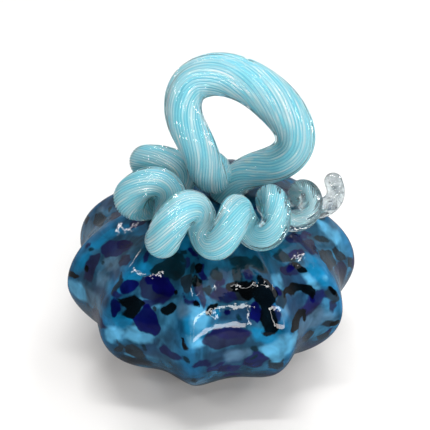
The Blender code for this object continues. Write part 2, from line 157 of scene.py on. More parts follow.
# Frit, the coloured glass rolled in hot. Each row has its name, colour, softness of the edge in
# millimetres, density, how many lie on the side that is out of sight, and the outlines of those that
# show, laid one by one. An outline runs from corner to corner, each given as millimetres round the belt
# and millimetres up the wall.
FRIT = (
    # Washes: fine powder that melted wide and thin into the casing
    ("slate_wash", "#1A3450", 1.0, 0.85, 16, (
        (-41.9, 47.4, -35.6, 49.8, -30.6, 50.7, -30.2, 48.1, -34.3, 46, -39.7, 45.4),
        (0.7, 52.1, 3.1, 52.7, 8.2, 52.1, 13.1, 52.8, 12.5, 48.4, 9.1, 48.1, 5, 49.1, 1.1, 50.2),
        (22.2, 52.7, 25.4, 52.1, 29.1, 50.4, 30, 48.4, 27.3, 47.4, 23.9, 48, 20.3, 48.1, 20.2, 50.5),
        (24.7, 57.9, 29.8, 55.3, 33.1, 55, 32.3, 52.9, 29.3, 52.2, 24.6, 54.4, 23.4, 56.7),
        (-0.7, 64.6, 1.7, 64.9, 5.7, 64, 6.8, 62.4, 5.7, 60.2, 3.4, 59.2, 0.1, 60.3, -0.7, 62.3),
        (-1.7, 43.1, 2.6, 41.9, 9, 40.4, 8.3, 36.7, 3.9, 35.9, -0.9, 39.2),
        (-73.5, 56.1, -72.7, 60.9, -67.1, 61.9, -66.4, 58.5, -69.1, 55.2),
        (33.2, 65.4, 37.5, 64.6, 38.1, 62.3, 38.9, 59.6, 34.4, 59.6, 33.4, 63.5),
        (-38, 54.4, -33.5, 57.7, -30.5, 57.1, -31.3, 54.1, -35.1, 52.1),
        (-19.3, 41.1, -14.5, 42.5, -13.8, 39.3, -17.6, 35.9, -20.1, 37.4),
        (23.2, 43.1, 27.3, 41, 29.9, 36.1, 26, 35.9, 21.6, 41.1),
        (22.8, 54, 29, 49.8, 32.4, 45.9, 33.9, 42.8, 32.6, 39.6, 27.6, 40.2, 22.9, 41.1, 24.3, 44.3,
         21.9, 48.3, 20.4, 51),
        (26.6, 56.7, 31, 55.8, 32.9, 53.9, 33.4, 51.6, 29, 52.7, 23.7, 55.1, 23.4, 56.7),
        (-0.1, 52.8, 4.8, 52.7, 12.1, 52.7, 13.5, 50, 12.3, 48.3, 4.6, 48.9, 0.3, 50.3),
    )),
    ("teal_wash", "#084660", 2.2, 0.85, 12, (
        (-27.7, 67.3, -21.6, 64.8, -14.5, 67.8, -8.8, 68.8, -4.6, 66.1, -5.5, 63.6, -11.4, 62.2,
         -20.8, 63, -23.5, 60.9, -27.2, 62.2),
        (6.6, 65, 12.4, 67.4, 20.3, 66, 24.7, 62, 20.1, 62.1, 14.1, 63.1, 8.1, 63.2),
        (19.5, 68.8, 29.4, 65.4, 42, 64.1, 54.5, 58.8, 50.4, 58.4, 38.9, 63.9, 33, 62.2, 23.4, 64.7),
        (-19.2, 77.3, -11.4, 72.3, -7.2, 69.4, -12, 68.6, -15.4, 69.3, -16.2, 72.7),
        (-36.4, 65.1, -30.3, 67.5, -26.5, 66, -27.9, 63.9, -32.8, 63.7),
        (-6.4, 66.6, 0, 65.9, 6.5, 64.6, 4, 63.1, -2.3, 64.2),
    )),
    ("haze", "#4E7088", 1.2, 0.60, 10, (
        (-46.8, 43.7, -41.6, 45, -35.7, 46, -32, 45.3, -40.5, 39.8, -45.2, 39.9),
        (-71.2, 44.6, -69.3, 49.5, -61.6, 54.4, -52, 62, -53.4, 58.6, -65.7, 47.3, -71.1, 40.6,
         -71.5, 42),
        (-9.5, 55.4, -6.6, 56, -5.8, 54.6, -5.9, 52.2, -7.9, 52.1, -9.7, 53.5),
        (26.6, 43.8, 29.8, 44, 32.4, 44.5, 34.2, 43.2, 33.5, 40.9, 31.1, 39.8, 27.3, 40.3, 23.5, 41.1,
         23.9, 43.3),
        (3.2, 39.8, 5.8, 40.5, 10, 41.2, 10, 39.9, 7.4, 38.2, 4.2, 38.2),
        (18.3, 52.2, 20.8, 52, 20.6, 49.4, 18.9, 48.8, 18, 49.8),
        (-40.7, 49.9, -38, 51.8, -35.2, 51.8, -36.6, 49.7, -40.3, 48.8),
        (63, 56.8, 62.8, 54.5, 59.7, 52.8, 57.5, 53.7, 58.8, 56.7),
        (33.4, 43.4, 35.7, 43.2, 37, 41.3, 36.3, 39.2, 34.2, 41),
        (-42.9, 55.4, -38.9, 58.5, -35, 56.8, -38.1, 53.5, -42, 53.7),
    )),
    ("azure_wash", "#0E6892", 0.80, 0.90, 22, (
        (-50.6, 55.4, -49.7, 60.1, -48.2, 63.7, -47.4, 64.9, -45.8, 63, -46.5, 58.5, -47.5, 55.1),
        (-48.4, 65.2, -44.3, 69.5, -33.4, 70.8, -36.5, 66.7, -45, 63.9),
        (-28.1, 56.8, -28.6, 60.1, -27.2, 63.1, -23.2, 62.1, -21.8, 59.3, -23.9, 57),
        (-27.4, 46.5, -24.8, 47.4, -22.3, 46.6, -22.6, 44, -26, 43.5),
        (35, 57.8, 36.9, 56.7, 38, 54.1, 37.5, 51.1, 36, 50.2, 34.8, 51.8, 34.3, 54.3),
        (11.4, 46.7, 14.6, 47.4, 17.9, 46.8, 18.8, 44.7, 17.3, 42.6, 14.9, 43.1, 12.2, 43.8),
        (-7.3, 51.3, -5.8, 53.4, -1.6, 51.9, -0.5, 49.2, -1.7, 47.4, -3.4, 46.1, -5.8, 47.4),
        (-50.6, 48.9, -50.2, 53, -48, 52.7, -47.5, 48.8, -49.6, 46.1),
        (0, 52.8, 1.7, 53.4, 2.6, 51.2, 1, 50.5),
        (35.7, 61.3, 38, 60, 38.7, 56.9, 36.4, 57.1, 35, 59.3),
    )),
    ("sky_wash", "#4B90B4", 0.80, 0.90, 18, (
        (13.2, 41.2, 14.9, 43.3, 17.4, 45.1, 20.1, 45.2, 22.9, 41.9, 21.3, 40.6, 19, 39.2, 17.4, 36.9,
         15.6, 36.1, 14.1, 38.7),
        (57.4, 60.2, 58.8, 57.5, 58.9, 53.7, 58.6, 50.1, 55.8, 51.1, 55.1, 54.4, 54.9, 58.3),
        (32.4, 55, 34.2, 54.6, 34.3, 51.9, 34.4, 49.7, 33.1, 49.1, 31.8, 52),
        (-6.6, 55.1, -2.3, 55.2, -1, 52.1, -1.6, 49.7, -4, 49, -5.8, 51.2),
        (-6.3, 48.1, -3.1, 48.2, -2.3, 46.1, -3.3, 44.6, -5.1, 45.2),
        (-51.3, 41.8, -47.2, 44, -44.6, 42.8, -44.1, 39.8, -47.5, 38.7, -50.3, 39.2),
        (20.9, 60.3, 23.4, 58.7, 23.4, 56.7, 20.9, 56, 20.1, 57.9),
        (-21.8, 52.2, -20, 51.3, -17.1, 51.4, -15.3, 52.9, -15.4, 51.8, -17.7, 50.4),
        (-29, 42.7, -26.4, 43.3, -24, 42.6, -24.5, 40.1, -27, 38.8, -28.2, 40.4),
        (-23.2, 43.9, -20.1, 44.5, -17.1, 43.7, -17, 41.7, -20.9, 40.5, -23.2, 41.7),
    )),
    # Chips, which kept their broken corners, the pale kinds under the dark ones
    ("violet_frit", "#181735", 0.35, 0.90, 20, (
        (-36.4, 59.4, -32.6, 62.2, -30.3, 62.2, -30.3, 60.2, -32.7, 57.9, -35.8, 57.8),
        (-58.9, 60.2, -63, 60.1, -60.3, 63.8, -54.1, 66, -53.6, 63.6),
        (-2.3, 45.2, -0.9, 47.6, 2.3, 47.3, 6.5, 45.9, 10.5, 45.1, 8.2, 43.1, 4.2, 42.4, 0, 43.9),
        (46.4, 49, 50.6, 47.6, 53.7, 45.9, 55.2, 42.6, 54.3, 40.5, 51.3, 39.9, 46.4, 46.1, 45.1, 48.8),
        (-4.8, 61, -3.3, 61.2, -2.4, 59.3, -1.7, 56.9, -2.3, 54.6, -3.3, 56.1, -4.2, 58.6),
        (24.1, 60.1, 27.7, 60, 30.6, 59.2, 31.9, 57.1, 31.6, 55.8, 27.9, 56.1, 25.9, 57.8),
        (-47.2, 49.1, -47.8, 52.4, -45.8, 54.3, -44.1, 52.8, -43.3, 49.8, -43.5, 47.4, -45.9, 46.7),
        (-42, 37.5, -35.7, 42.5, -30.4, 44.5, -29, 42.4, -32.1, 40.6, -44.4, 32.6),
        (-23.3, 55.1, -22.5, 57, -20, 58.6, -17.5, 58.3, -14.7, 55.8, -13.6, 54.5, -16, 53, -19.1, 52.6,
         -21.5, 53),
        (35.6, 45.9, 36.8, 45.4, 37.5, 43.8, 36.8, 42.4, 35.6, 43.8),
        (37.7, 64.5, 43.5, 62.2, 46.8, 59.2, 44.1, 58, 39.1, 60, 38.1, 62.3),
        (28.1, 47.1, 31, 47, 33.1, 46.1, 33, 44.9, 30.6, 43.9, 28.1, 44.4, 27.1, 46),
        (-23.4, 58.3, -20.5, 59.6, -16.4, 59.2, -12.7, 57.2, -14.6, 54.6, -18.8, 52.3, -22.4, 54,
         -23.6, 56.4),
        (-2.5, 46.5, -0.7, 48.2, 3.7, 46.1, 5.3, 44.8, 3.5, 43.3, -0.9, 44.2, -2.5, 45.4),
    )),
    ("smoke_frit", "#192025", 0.30, 0.90, 30, (
        (-67.2, 52.2, -68.6, 53.7, -67.1, 56, -62.2, 57.5, -56, 59.2, -63.1, 52.9),
        (-72.1, 47.6, -72.1, 48.1, -72.7, 49.5, -70, 51.1, -70.4, 47.5),
        (-30.4, 57.6, -28.4, 56.5, -28.7, 53.5, -28.7, 51.2, -30.1, 51, -30.4, 52.1, -29.6, 55.3),
        (-26.6, 37.4, -25.5, 39.2, -24.7, 38.2, -25, 35.5, -26.5, 34.5),
        (-23.8, 37.6, -21.8, 38.8, -19.9, 36.9, -18.6, 34.6, -21.7, 32.7, -23.3, 35.1),
        (-10.2, 60.9, -8.9, 62.2, -6.5, 63.2, -4.9, 62.2, -5.6, 60.4, -6.6, 58.4, -8.2, 58.4,
         -9.7, 59.4),
        (19.6, 56.1, 21.6, 56.1, 22.7, 54.4, 21.6, 52, 19.6, 51.8, 18.9, 53.4),
        (41.9, 56.7, 47.4, 54.4, 51.1, 51.9, 50.5, 49.6, 49.7, 48.1, 41.8, 51.8, 41, 54.5, 40.5, 56.2),
        (52.6, 51.4, 55.1, 50.4, 55.6, 47.7, 55.7, 45.3, 52.9, 46.8, 52.1, 49),
        (56.8, 45.2, 59.6, 43.8, 60.5, 41, 58.9, 39.8, 56.6, 42.6),
        (33, 39.3, 34.2, 40.5, 35.7, 39.9, 36.3, 38.2, 35, 37.4, 33.5, 38.1),
        (33.1, 34.4, 34.3, 35.4, 36.1, 35.4, 36.8, 32.8, 35.5, 31.2),
        (26.6, 36.9, 28, 38.2, 30.9, 37.7, 30.8, 35.6, 30, 33.3),
        (14.6, 36.9, 16.4, 35.4, 18.2, 37.3, 17.3, 34.4, 17.1, 32.7, 15.7, 33.8),
        (-7.9, 46.7, -6.8, 46.3, -5.9, 44.7, -6.7, 44.4, -7.3, 45.3),
        (60.5, 61.9, 64.6, 58.7, 61.5, 59.1, 58.2, 59.5, 58.2, 61.1),
        (35.6, 48.8, 37.5, 49.6, 38.3, 48, 38.1, 45.3, 36.7, 45.1, 35.7, 46.8),
        (22.2, 47.4, 24.1, 46.9, 26.6, 45, 24.3, 44.3, 22.3, 44.8, 21.5, 46.4),
        (26.1, 38.8, 29, 38.8, 30.7, 37.8, 30.1, 35, 27.8, 35.7),
        (15.3, 36.1, 16.4, 36.2, 17.8, 36.3, 17.9, 34, 17.1, 33, 15.8, 34.2),
        (4.3, 57.7, 7.2, 59.1, 11.5, 59, 13.6, 56.7, 12.8, 55.2, 9.6, 54.7, 6.2, 55.7),
    )),
    ("indigo_frit", "#131642", 0.35, 0.92, 30, (
        (-46.7, 56.2, -45.7, 59.4, -41.2, 62.9, -35.7, 63.8, -35.7, 62.2, -38.7, 57.9, -42.9, 55.1,
         -45.7, 55.3),
        (-20.9, 52.1, -18.4, 52.1, -15.3, 54.3, -13.5, 55.4, -13.7, 54.2, -16.7, 51.9, -18.3, 49.8,
         -20, 50.4),
        (-13.8, 41.2, -11.3, 42.4, -9.1, 42, -7.4, 40.4, -8.9, 39.3, -11.3, 39.8, -13.1, 39.7),
        (8.2, 35.2, 9.8, 39.2, 11.5, 41, 13.2, 40.4, 14.6, 37.5, 13.1, 34.4, 10.6, 33.7),
        (-1.2, 38.4, 2.6, 36.8, 7.5, 34.3, 6.6, 31.7, 0.8, 35.1, -0.9, 36.7),
        (-5.1, 39.2, -3.2, 40.5, -1.5, 40.5, -0.2, 38.7, -2.6, 39.2, -4.6, 38.5),
        (-0.9, 47.4, 0.2, 48.2, 6.4, 46.6, 10.7, 45.4, 8, 44.5, 3.4, 45.4),
        (26.1, 46.9, 29.7, 47.6, 32.3, 49.1, 34.3, 49.1, 34.8, 47.3, 33.7, 45.4, 31.8, 45.2, 29.2, 45.3,
         27.4, 45.1),
        (17.2, 53.5, 18, 52.8, 18.2, 50.5, 17.9, 49, 17, 50.5),
        (11.5, 62.2, 13.9, 63.1, 14.6, 61.4, 13.3, 59.7, 11.5, 60.2),
        (-8.3, 57.2, -6.4, 56.9, -4.9, 56.7, -4.2, 55.3, -6.5, 55.9, -8.1, 56),
        (-27.3, 64, -27.2, 65.7, -25.6, 64.9, -25.5, 63.1, -26.4, 62.9),
        (35, 66.8, 38.9, 66.7, 45, 62.9, 50.5, 59.4, 41.9, 63.1, 35.7, 65.1),
        (0.7, 61.3, 2.6, 61.9, 5, 60.5, 4.1, 59.3, 1.7, 59.4),
        (0.1, 57.7, 2.4, 58.4, 5.7, 57.7, 7.4, 56.7, 8.1, 55, 5.8, 54.5, 3.2, 55.2, 1.4, 56.3),
        (33.6, 49.7, 35.5, 49.5, 35.1, 47.4, 34.2, 46.8, 33.1, 48.1),
    )),
    ("bottle_frit", "#051E27", 0.35, 0.92, 22, (
        (-22.6, 60.1, -21.7, 62.2, -19.1, 63.6, -15.1, 64.2, -10.5, 64.1, -9.6, 62.8, -11.1, 60.6,
         -14.5, 60.4, -17.1, 58.8, -20.9, 58.5),
        (-17.6, 64.7, -15.3, 66.5, -12.2, 66.4, -10.5, 64.8, -15.3, 64),
        (7.3, 65.6, 11.4, 66.6, 14.6, 66, 16.4, 64.9, 14.1, 63.1, 10.7, 63.1, 8.1, 64),
        (8.4, 62.7, 10.6, 63.1, 10.8, 61.4, 9.8, 59.6, 8.3, 60.4),
        (-2.3, 59.5, -0.6, 60.1, 0.9, 58.7, 0.2, 57.8, -0.9, 58.5),
        (25.3, 63.9, 30.5, 63.7, 31.7, 61.9, 33, 60.4, 32.4, 59.3, 29.3, 60.5, 26, 62.2),
        (-8.1, 64.9, -7.3, 66, -5.8, 65.1, -5.8, 63.9, -7.2, 63.8),
        (-14.5, 67.6, -11.1, 68.8, -10.4, 67.8, -12.9, 66.9),
        (14.7, 64.9, 18, 66.7, 18.9, 64.7, 19.6, 62, 17.2, 61.9, 15.5, 63),
        (-0.1, 63.7, 2.4, 63.9, 4.2, 62.3, 3.2, 61.1, 0.7, 61.9),
        (48.2, 59.5, 52.9, 56.7, 54.2, 53.8, 49.9, 56.3),
    )),
    ("cobalt_frit", "#040440", 0.25, 0.96, 26, (
        (-19.8, 58, -17.6, 59.4, -15.1, 60.1, -13.5, 58.4, -12.2, 56.8, -13.7, 55.2, -17.4, 54.7,
         -20, 55.9),
        (-28, 53.7, -28.2, 55.8, -27.2, 56.7, -24.7, 56, -23.9, 55.1, -24.6, 53.4, -25.7, 52.6,
         -27.2, 52.8),
        (-22.6, 46.9, -21, 48.8, -18.9, 50.9, -17.6, 49.6, -16, 48.8, -14.6, 46.9, -15.5, 44.1,
         -16.6, 43.4, -18.1, 44.1, -20.6, 44.7, -21.8, 45.9),
        (-29.6, 49.6, -28.7, 50.6, -27.2, 49.7, -26.4, 48.1, -26.5, 46.8, -27.4, 46.7, -28.8, 48.2),
        (11.4, 52.8, 13.2, 53.6, 14, 51.3, 13, 49.1, 11.3, 49.8),
        (31.9, 62.4, 34.3, 62.9, 36.3, 62.3, 36.2, 60.5, 33.7, 60.2, 31.8, 61.1),
        (-5.7, 66, -3.3, 66.6, -2.4, 64.8, -1.4, 62.4, -3, 62.4, -4.2, 64.6),
        (-10.4, 69.7, -8.8, 69.8, -5.8, 67.7, -8.2, 67.6),
        (26.7, 59.2, 29.3, 59.2, 31, 57.5, 29.2, 56.9, 27.2, 57.8),
        (-43.4, 61.1, -41.2, 62.9, -35.9, 63.6, -37.4, 61.4, -41.1, 60.3),
        (-22.9, 57.8, -21.7, 59.3, -17.6, 59.7, -14.5, 59.1, -12.7, 57.2, -14.6, 55.9, -19.2, 56.6,
         -21.6, 56.5),
    )),
    ("black_frit", "#020406", 0.25, 0.98, 32, (
        (-27.9, 50.5, -25.7, 51.9, -23.8, 52.6, -21.5, 52, -20, 51.2, -21, 49.5, -22.3, 47.6,
         -23.2, 46.8, -24.9, 47.4, -25, 48.8, -26.7, 49.4),
        (-14.3, 52.1, -12.7, 53.6, -10.6, 53.4, -10.6, 51.9, -11.6, 50, -13.4, 50.2, -14.4, 51.1),
        (-52.6, 44, -50.5, 45.4, -47.6, 45.9, -48.9, 44.6, -51.9, 43.2),
        (-5.8, 61.1, -5.7, 62.8, -4.8, 63.8, -3.3, 62.1, -3.4, 60.5, -4.9, 60.4),
        (4, 58.5, 5.8, 59.5, 9.8, 59.6, 12.1, 59.3, 13.1, 57, 13.8, 55.1, 11.6, 54.4, 10.5, 55.3,
         8.4, 57.1, 5.6, 57.1),
        (12.3, 58.7, 14, 59.5, 14.8, 58.5, 14, 56.7, 12.3, 56.9),
        (-1, 54.6, 0, 55.3, 2.3, 54.6, 1, 53.6, -0.7, 53.7),
        (-1.8, 53.8, -0.8, 54.3, 0, 52.9, -0.6, 52.2, -1.6, 52.8),
        (15.5, 60.1, 17, 61, 18.1, 60.1, 18.9, 58.4, 19.5, 56, 18.1, 53.7, 16.9, 53.3, 17.3, 55.4,
         16.3, 57, 14.8, 58.4),
        (13.2, 55.9, 15, 57.1, 17.1, 56.2, 17.3, 54.3, 15.7, 52.7, 14.2, 53.1, 13.1, 54.3),
        (13.8, 51.3, 15.1, 52.4, 16.3, 51.1, 16.2, 49, 14.6, 48.2, 13.8, 49.6),
        (14.6, 48, 15.7, 49, 17.2, 48.9, 17.8, 47.4, 16.3, 46.1, 15.3, 46.5),
        (22.1, 55.2, 25.9, 54.3, 29.7, 52.8, 32.4, 51.2, 33.5, 49.5, 32.4, 48.1, 30.6, 49.1, 27.3, 51.4,
         23.5, 53.6, 21.5, 53.7),
        (21, 46, 22.2, 47.5, 25.8, 47, 28.6, 46, 27.4, 45.1, 24.7, 44.7, 23.9, 43.1, 21.4, 45.2),
        (31.2, 59.3, 33.2, 58, 34.2, 56.6, 34.3, 55.2, 32.3, 56.1, 31.7, 57.6),
        (-6.3, 56.2, -4.9, 56.7, -4.2, 55.4, -5.6, 55.2),
        (37.3, 49.5, 38.2, 48.3, 37.6, 46.6, 36.7, 47.3),
        (-7.9, 47.1, -7.3, 47.1, -6.2, 44.9, -6.7, 44.4, -7.5, 45.5),
        (13.8, 55.1, 15.3, 56.6, 17.1, 55.3, 17, 52.8, 17.2, 48.7, 15.9, 46.6, 14.7, 47.2, 14.5, 50.6,
         13.9, 52.8),
    )),
)

# Where the outlines above lie, and what the scattered chips and fine grains are like: half lengths and
# heights up the wall in millimetres, width as a share of length, number of corners
LAID_HALF_WIDTH = 63.0
LAID_FROM, LAID_TO = 31.0, 70.0
CHIP_LENGTHS = (1.5, 5.5)
CHIP_HEIGHTS = (10.0, arc[-1] - 4.0)
GRAIN_LENGTHS = (0.5, 1.5)
GRAIN_HEIGHTS = (14.0, arc[-1] - 6.0)
CHIP_WIDTHS = (0.4, 0.8)
CHIP_CORNERS = (5, 8)
CORNER_SHIFT = 0.3
# The hot wall drags the chips into slight swirls
SWIRL_LENGTH = 4.0
SWIRL = 1.3
SWIRL_SLICE = 7.0
# No chip's edge is felt beyond this many millimetres
EDGE_REACH = 6.0
scatter = random.Random(11)


def broken_chip(around, up, length):
    """The outline of one splinter of crushed glass, with the given half length."""
    lean = scatter.uniform(0.0, math.pi)
    width = length * scatter.uniform(*CHIP_WIDTHS)
    corners = scatter.randint(*CHIP_CORNERS)
    chip = []
    for k in range(corners):
        turn = 2.0 * math.pi * (k + scatter.uniform(-CORNER_SHIFT, CORNER_SHIFT)) / corners
        x, y = length * math.cos(turn), width * math.sin(turn)
        chip.append(around + x * math.cos(lean) - y * math.sin(lean))
        chip.append(up + x * math.sin(lean) + y * math.cos(lean))
    return chip


def fallen_chips(count):
    """Chips on the back, the underside and the crown, and fine grains all round, where they fell."""
    chips = []
    while len(chips) < count:
        around = scatter.uniform(-0.5, 0.5) * BELT
        up = scatter.uniform(*CHIP_HEIGHTS)
        if abs(around) > LAID_HALF_WIDTH or not LAID_FROM < up < LAID_TO:
            chips.append(broken_chip(around, up, scatter.uniform(*CHIP_LENGTHS)))
    for _ in range(count // 2):
        around = scatter.uniform(-0.5, 0.5) * BELT
        up = scatter.uniform(*GRAIN_HEIGHTS)
        chips.append(broken_chip(around, up, scatter.uniform(*GRAIN_LENGTHS)))
    return chips


def from_edge(spots, chip):
    """Millimetres from each spot to a chip's edge, less than nothing inside it."""
    first = chip[0]
    across = (spots[:, 0] - first + 0.5 * BELT) % BELT - 0.5 * BELT + first
    rise = spots[:, 1]
    xs, ys = chip[0::2], chip[1::2]
    nearest = np.full(len(spots), np.inf)
    inside = np.zeros(len(spots), bool)
    for k in range(len(xs)):
        x, y = across - xs[k], rise - ys[k]
        run, climb = xs[k - 1] - xs[k], ys[k - 1] - ys[k]
        share = np.clip((x * run + y * climb) / (run * run + climb * climb), 0.0, 1.0)
        nearest = np.minimum(nearest, np.hypot(x - share * run, y - share * climb))
        if climb != 0.0:
            inside ^= ((y >= 0.0) != (rise >= ys[k - 1])) & (x < run * y / climb)
    return np.where(inside, -nearest, nearest)


# The wall's points carry how near they are to a crest, their place on the unrolled wall, and for each
# kind of frit the distance to its nearest edge
body.data.attributes.new("crest", "FLOAT", "POINT")
body.data.attributes.new("flat_wall", "FLOAT_VECTOR", "POINT")
body.data.attributes["crest"].data.foreach_set("value", crest)
flat_wall = body.data.attributes["flat_wall"].data
swirled = unrolled.copy()
for vert in body.data.vertices:
    around, up = unrolled[vert.index]
    turn = around / BELT * 2.0 * math.pi
    flat_wall[vert.index].vector = (math.cos(turn), math.sin(turn), up)
    for k in range(2):
        slice_of_noise = Vector((SWIRL_SLICE * k, 0.0, 0.0))
        swirled[vert.index][k] += SWIRL * noise.noise(vert.co / (SWIRL_LENGTH * MM) + slice_of_noise)
for kind, _, _, _, count, chips in FRIT:
    nearest = np.full(len(swirled), EDGE_REACH)
    for chip in list(chips) + fallen_chips(count):
        nearest = np.minimum(nearest, from_edge(swirled, chip))
    body.data.attributes.new(kind, "FLOAT", "POINT")
    body.data.attributes[kind].data.foreach_set("value", nearest)


def linear(code):
    """sRGB hex to the linear colour that a shader takes."""
    parts = [int(code[i:i + 2], 16) / 255.0 for i in (1, 3, 5)]
    return tuple(p / 12.92 if p <= 0.04045 else ((p + 0.055) / 1.055) ** 2.4 for p in parts) + (1.0,)


def new_material(name):
    """A new material, its node tree and its shader."""
    made = bpy.data.materials.new(name)
    made.use_nodes = True
    return made, made.node_tree, made.node_tree.nodes["Principled BSDF"]


def add_node(tree, kind, look, feeds):
    """One node with its settings, and what is linked or typed into its sockets.

    By number, a Map Range takes its value in 0, from limits in 1 and 2 and to limits in 3 and 4, and
    a colour Mix its share in 0 and its two colours in 6 and 7.
    """
    made = tree.nodes.new("ShaderNode" + kind)
    for name, value in look.items():
        setattr(made, name, value)
    for socket, feed in feeds.items():
        if isinstance(feed, bpy.types.NodeSocket):
            tree.links.new(feed, made.inputs[socket])
        else:
            made.inputs[socket].default_value = feed
    return made


# Soda-lime glass, coloured, cased in clear, blown in a mould and fire-polished. To the eye it is a deep
# glossy blue, cloudy where the casing is thick or thin, with crisp dark chips under a surface that
# mirrors the lights with a slight ripple. Every pattern below is scaled per millimetre.
fritted, tree, shader = new_material("fritted_cased_glass")
place = add_node(tree, "TexCoord", {}, {})
mm = add_node(tree, "VectorMath", {"operation": "SCALE"}, {0: place.outputs["Object"], "Scale": 1.0 / MM})
where = add_node(tree, "SeparateXYZ", {}, {0: mm.outputs[0]})
# Clouds in the casing, 11 mm across
clouds = add_node(tree, "TexNoise", {},
                  {"Vector": mm.outputs[0], "Scale": 0.09, "Detail": 3.0, "Distortion": 1.2})
cloud = add_node(tree, "MapRange", {"interpolation_type": "SMOOTHSTEP"},
                 {0: clouds.outputs[0], 1: 0.35, 2: 0.65})
walls = add_node(tree, "Mix", {"data_type": "RGBA"},
                 {0: cloud.outputs[0], 6: linear("#193F58"), 7: linear("#306A8A")})
# The crests, where the casing is blown thinnest, are clearer, and are painted brighter as well: a painted
# highlight of the light that shines through them
ridge = add_node(tree, "Attribute", {"attribute_name": "crest"}, {})
crest_painted_light = add_node(tree, "MapRange", {"interpolation_type": "SMOOTHSTEP"},
               {0: ridge.outputs["Fac"], 1: 0.35, 2: 1.0, 4: 0.6})
crests = add_node(tree, "Mix", {"data_type": "RGBA"},
                  {0: crest_painted_light.outputs[0], 6: walls.outputs[2], 7: linear("#126392")})
# Painted shade: the glass is darker and deeper towards the crown, from 36 to 48 mm up
high = add_node(tree, "MapRange", {"interpolation_type": "SMOOTHSTEP"},
                {0: where.outputs[2], 1: 36.0, 2: 48.0, 4: 0.8})
crown = add_node(tree, "Mix", {"data_type": "RGBA"},
                 {0: high.outputs[0], 6: crests.outputs[2], 7: linear("#0B4A6A")})
# Dark streaks pulled up the wall as it was blown, 4 mm wide and 14 mm long
flat = add_node(tree, "Attribute", {"attribute_name": "flat_wall"}, {})
drawn_out = add_node(tree, "Mapping", {}, {"Vector": flat.outputs["Vector"], "Scale": (9.0, 9.0, 0.07)})
pulls = add_node(tree, "TexNoise", {}, {"Vector": drawn_out.outputs[0], "Scale": 1.0, "Detail": 3.0})
pulled = add_node(tree, "MapRange", {"interpolation_type": "SMOOTHSTEP"},
                  {0: pulls.outputs[0], 1: 0.45, 2: 0.68, 4: 0.75})
streaked = add_node(tree, "Mix", {"data_type": "RGBA"},
                    {0: pulled.outputs[0], 6: crown.outputs[2], 7: linear("#0A2C40")})
# The chips' edges are jagged every 2 mm, from 0.8 mm out to 0.3 mm in
jags = add_node(tree, "TexNoise", {}, {"Vector": mm.outputs[0], "Scale": 0.55, "Detail": 1.0})
jagged = add_node(tree, "MapRange", {}, {0: jags.outputs[0], 3: -0.8, 4: 0.3})
# Painted shade: darker low down, where less light comes through, from 25 to 12 mm up
low = add_node(tree, "MapRange", {"interpolation_type": "SMOOTHSTEP"},
               {0: where.outputs[2], 1: 25.0, 2: 12.0, 4: 0.8})
painted_low_shade = add_node(tree, "Mix", {"data_type": "RGBA"},
                  {0: low.outputs[0], 6: streaked.outputs[2], 7: linear("#10293C")})
# Each kind of frit lies over those before it
colour = painted_low_shade.outputs[2]
for kind, code, edge, density, _, _ in FRIT:
    reach = add_node(tree, "Attribute", {"attribute_name": kind}, {})
    broken = add_node(tree, "Math", {"operation": "ADD"}, {0: reach.outputs["Fac"], 1: jagged.outputs[0]})
    cover = add_node(tree, "MapRange", {"interpolation_type": "SMOOTHSTEP"},
                     {0: broken.outputs[0], 1: edge, 2: -edge, 3: 0.0, 4: density})
    mixed = add_node(tree, "Mix", {"data_type": "RGBA"}, {0: cover.outputs[0], 6: colour, 7: linear(code)})
    colour = mixed.outputs[2]
# Chips and walls alike are lighter where they lie near the surface, in patches of 5 mm
depths = add_node(tree, "TexNoise", {},
                  {"Vector": mm.outputs[0], "Scale": 0.2, "Detail": 2.0, "Distortion": 0.6})
depth = add_node(tree, "MapRange", {}, {0: depths.outputs[0], 1: 0.3, 2: 0.7, 3: 0.5, 4: 1.3})
deep = add_node(tree, "Mix", {"data_type": "RGBA", "blend_type": "MULTIPLY"},
                {0: 1.0, 6: colour, 7: depth.outputs[0]})
tree.links.new(deep.outputs[2], shader.inputs["Base Color"])
shader.inputs["Roughness"].default_value = 0.02
shader.inputs["IOR"].default_value = 1.5
shader.inputs["Specular IOR Level"].default_value = 0.22
# Ripples of 4 mm all over, and of 1 mm on the shoulders, which were worked hot when the cane was set
waves = add_node(tree, "TexNoise", {}, {"Vector": mm.outputs[0], "Scale": 0.25, "Detail": 1.0})
chops = add_node(tree, "TexNoise", {}, {"Vector": mm.outputs[0], "Scale": 0.9, "Detail": 1.0})
worked = add_node(tree, "MapRange", {"interpolation_type": "SMOOTHSTEP"},
                  {0: where.outputs[2], 1: 33.0, 2: 38.0, 3: 0.06, 4: 0.32})
chopped = add_node(tree, "Math", {"operation": "MULTIPLY"}, {0: chops.outputs[0], 1: worked.outputs[0]})
ripples = add_node(tree, "Math", {"operation": "ADD"}, {0: waves.outputs[0], 1: chopped.outputs[0]})
relief = add_node(tree, "Bump", {}, {"Height": ripples.outputs[0], "Distance": 0.13 * MM, "Strength": 1.0})
tree.links.new(relief.outputs[0], shader.inputs["Normal"])
body.data.materials.append(fritted)
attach(body, "root")
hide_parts("glass_body")

# The stem and the vine are one cane of turquoise glass. It was gathered in a ribbed mould, set on the
# hot crown, and drawn out and twisted as it went over the loop and round itself, so the ribs run along
# it and lean more towards the thin, clear end.

# Where the foot of the cane is sunk in the crown, in millimetres
FOOT_SPOT = (2.6, 1.7)
FOOT_SINK = 3.0
SEAT_HEIGHT = profile[-1][1]

